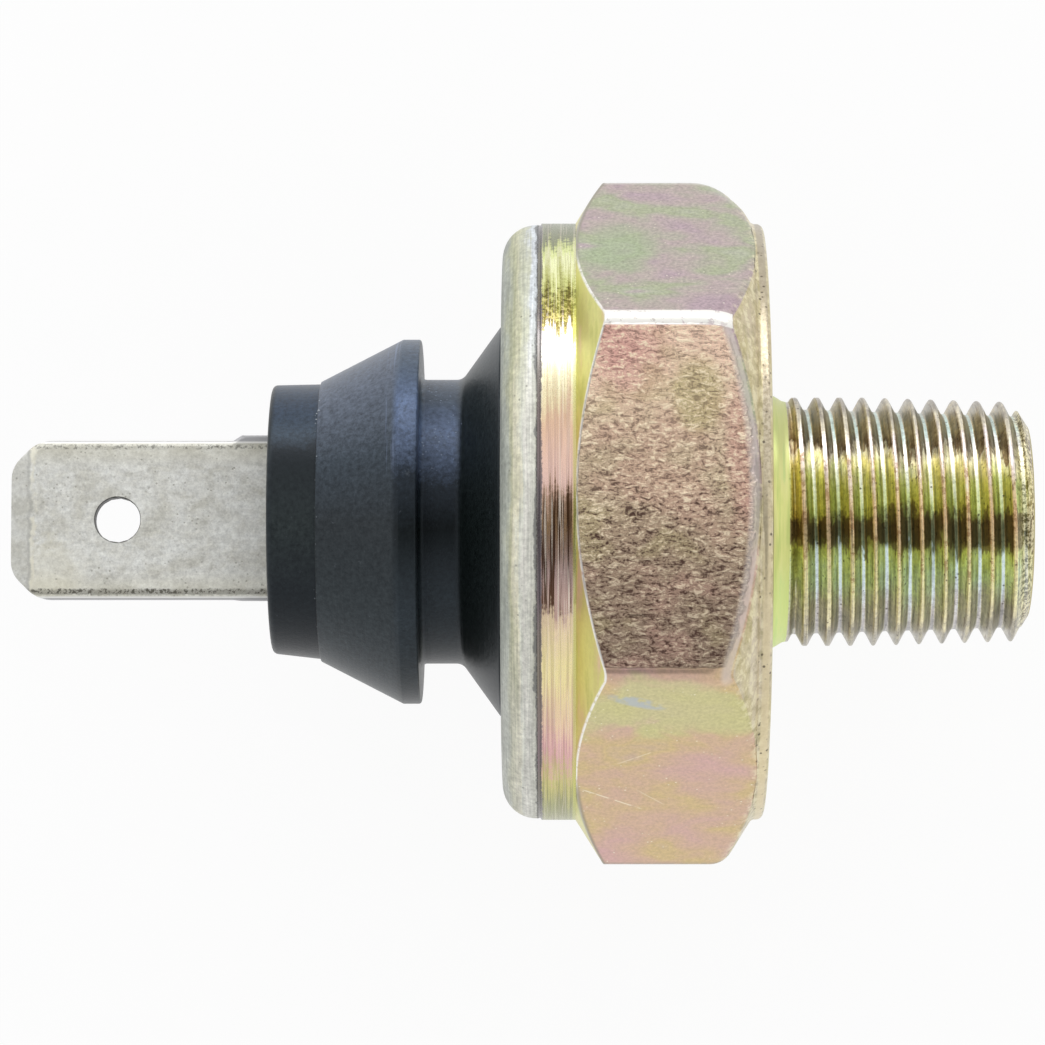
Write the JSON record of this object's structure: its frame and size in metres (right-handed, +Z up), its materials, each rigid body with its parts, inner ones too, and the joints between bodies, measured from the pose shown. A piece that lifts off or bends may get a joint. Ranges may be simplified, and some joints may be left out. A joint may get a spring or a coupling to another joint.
{
  "type": "oil pressure sender",
  "caption": "Oil pressure sender with a tapered pipe thread, a hexagon steel body, a black moulded head and a flat blade terminal.",
  "frame": {"origin": "on the thread's axis, at the end face of the hexagon that meets the engine", "axes": "+X along the axis, out of the threaded end; +Z up, square to the hexagon flat that lies on top; the part lies on the opposite flat, with the blade level"},
  "size_m": [0.0403, 0.0272, 0.0236],
  "materials": {
    "chromated_steel": "turned steel, zinc plated with a yellow iridescent chromate, worn on the rolled rim",
    "black_moulding": "dark blue-grey moulded plastic, satin with a fine grain",
    "tinned_brass": "tin plated brass, warm light grey, finely pitted",
    "plain_brass": "bright brass",
    "contact_metal": "nickel plated pressed steel, smooth",
    "spring_wire": "drawn spring wire",
    "film": "amber polyimide film",
    "seal_rubber": "black nitrile rubber",
    "insulator": "brown phenolic moulding"
  },
  "bodies": {
    "housing": {"hex_body": "chromated_steel", "terminal_head": "black_moulding", "spade_terminal": "tinned_brass", "spring_seat": "plain_brass", "head_gasket": "seal_rubber", "earth_plate": "contact_metal", "diaphragm": "film", "seal_ring": "seal_rubber", "contact_spring": "spring_wire"},
    "contact_set": {"moving_contact": "contact_metal", "plunger": "insulator"}
  },
  "joints": [
    {"name": "contact_lift", "type": "slide", "parent": "housing", "child": "contact_set", "axis": [-1, 0, 0], "range_m": [0, 0.0004], "stiffness_N_per_m": 100, "springref_m": -0.0001, "deforming": ["contact_spring", "diaphragm"]}
  ]
}
